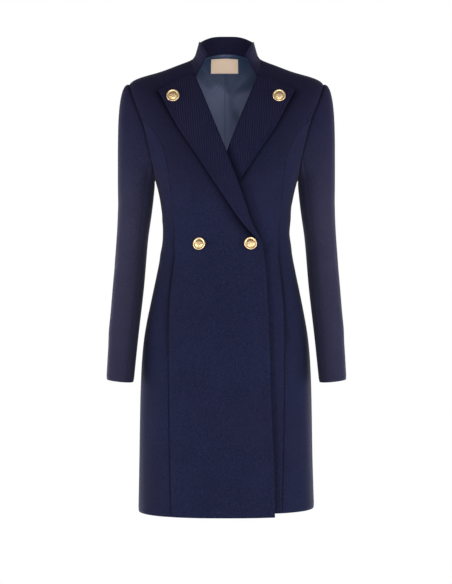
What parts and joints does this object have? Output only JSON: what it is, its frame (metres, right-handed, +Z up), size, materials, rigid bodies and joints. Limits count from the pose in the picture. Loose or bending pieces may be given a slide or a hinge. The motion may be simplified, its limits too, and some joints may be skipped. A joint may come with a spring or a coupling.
{
  "type": "long-sleeved double-breasted coat",
  "caption": "Fitted knee-length wool coat with long sleeves, wide peaked lapels, a stand collar and domed metal buttons, worn closed and hollow.",
  "frame": {"origin": "between the shoulders, on the middle plane, at the height of the side neck points, where the wearer's shoulders carry the coat", "axes": "+Z up along the standing wearer, -Y the way the wearer faces, +X towards the wearer's left side"},
  "size_m": [0.487, 0.2539, 0.9792],
  "materials": {
    "navy_wool": "felted wool cloth, matt, with a fine vertical rib on the collar and lapels",
    "blue_satin": "smooth satin lining with a soft sheen",
    "cream_ribbon": "fine woven ribbon, matt",
    "gold_metal": "polished pale gold plating with relief"
  },
  "bodies": {
    "root": {"front_right": "navy_wool", "front_left": "navy_wool", "side_front_right": "navy_wool", "side_front_left": "navy_wool", "side_back_right": "navy_wool", "side_back_left": "navy_wool", "back_right": "navy_wool", "back_left": "navy_wool", "upper_sleeve_right": "navy_wool", "upper_sleeve_left": "navy_wool", "under_sleeve_right": "navy_wool", "under_sleeve_left": "navy_wool", "lapel_right": "navy_wool", "lapel_left": "navy_wool", "collar": "navy_wool", "collar_facing": "navy_wool", "lining_back_right": "blue_satin", "lining_back_left": "blue_satin", "neck_label": "cream_ribbon", "button_lapel_right": "gold_metal", "button_lapel_left": "gold_metal", "button_waist_right": "gold_metal", "button_waist_left": "gold_metal"}
  },
  "joints": []
}
